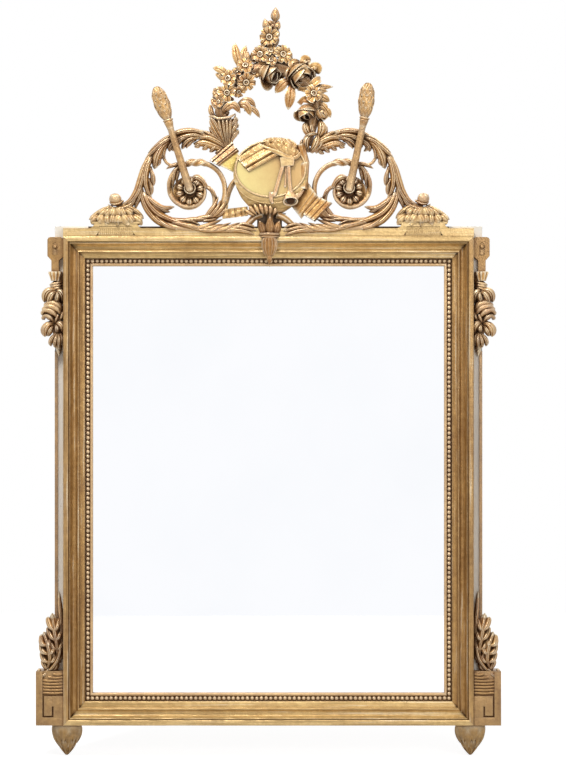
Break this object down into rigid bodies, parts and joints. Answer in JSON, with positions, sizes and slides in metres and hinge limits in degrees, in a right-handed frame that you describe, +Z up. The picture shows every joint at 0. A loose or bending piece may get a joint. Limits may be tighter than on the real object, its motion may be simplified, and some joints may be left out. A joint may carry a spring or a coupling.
{
  "type": "wall mirror",
  "caption": "Tall wall mirror in a pearled and gilded moulding with an openwork crest of scrolls, torches, a flower wreath and a trophy, and flower drops at the sides.",
  "frame": {"origin": "centre of the backboards' rear face, on the frame's centre line and level with the middle of the glass", "axes": "+Z up, +Y out of the back towards the wall, so the glass faces -Y; +X is the viewer's right"},
  "size_m": [0.929, 0.077, 1.4975],
  "materials": {
    "gilt_wood": "water gilding over red bole on carved wood, rubbed and aged",
    "pine_carcass": "pine, painted off-white on the wings, bare and dark on top and behind",
    "pine_board": "bare pine, darkened with age",
    "plain_pine": "bare pine",
    "silvered_glass": "silvered plate glass",
    "wrought_iron": "forged iron, dark",
    "screw_steel": "steel, dulled"
  },
  "bodies": {
    "mirror": {"backboard_bottom": "pine_board", "backboard_middle": "pine_board", "backboard_nails": "wrought_iron", "backboard_top": "pine_board", "carcass_rail_bottom": "pine_carcass", "carcass_rail_top": "pine_carcass", "carcass_stile_left": "pine_carcass", "carcass_stile_right": "pine_carcass", "centre_pendant": "gilt_wood", "crest_batten": "plain_pine", "crest_rail": "gilt_wood", "crest_screws": "screw_steel", "flower_drop_left": "gilt_wood", "flower_drop_right": "gilt_wood", "glass_blocks": "plain_pine", "hanger_screws": "screw_steel", "hanger_strap_left": "wrought_iron", "hanger_strap_right": "wrought_iron", "joint_pegs": "plain_pine", "key_block_left": "gilt_wood", "key_block_right": "gilt_wood", "mirror_glass": "silvered_glass", "moulding_bottom": "gilt_wood", "moulding_left": "gilt_wood", "moulding_right": "gilt_wood", "moulding_top": "gilt_wood", "pearl_strip_bottom": "gilt_wood", "pearl_strip_left": "gilt_wood", "pearl_strip_right": "gilt_wood", "pearl_strip_top": "gilt_wood", "pedestal_leaves_left": "gilt_wood", "pedestal_leaves_right": "gilt_wood", "pendant_foot_left": "gilt_wood", "pendant_foot_right": "gilt_wood", "rosette_left": "gilt_wood", "rosette_right": "gilt_wood", "scroll_left": "gilt_wood", "scroll_right": "gilt_wood", "strap_left": "gilt_wood", "strap_nails": "gilt_wood", "strap_right": "gilt_wood", "torch_left": "gilt_wood", "torch_right": "gilt_wood", "trophy_books": "gilt_wood", "trophy_cap": "gilt_wood", "trophy_drum": "gilt_wood", "trophy_instruments": "gilt_wood", "trophy_rolls": "gilt_wood", "wing_edges": "gilt_wood", "wing_leaf_left": "gilt_wood", "wing_leaf_right": "gilt_wood", "wreath_branch": "gilt_wood", "wreath_daisies": "gilt_wood", "wreath_finial": "gilt_wood", "wreath_husk": "gilt_wood", "wreath_leaves": "gilt_wood", "wreath_roses": "gilt_wood", "wreath_sheath": "gilt_wood"},
    "ring_left": {"hanger_ring_left": "wrought_iron"},
    "ring_right": {"hanger_ring_right": "wrought_iron"}
  },
  "joints": [
    {"name": "ring_left_swing", "type": "hinge", "parent": "mirror", "child": "ring_left", "pos_m": [-0.4035, -0.004, 0.316], "axis": [1, 0, 0], "range_deg": [0, 180]},
    {"name": "ring_right_swing", "type": "hinge", "parent": "mirror", "child": "ring_right", "pos_m": [0.4035, -0.004, 0.316], "axis": [1, 0, 0], "range_deg": [0, 180]}
  ]
}
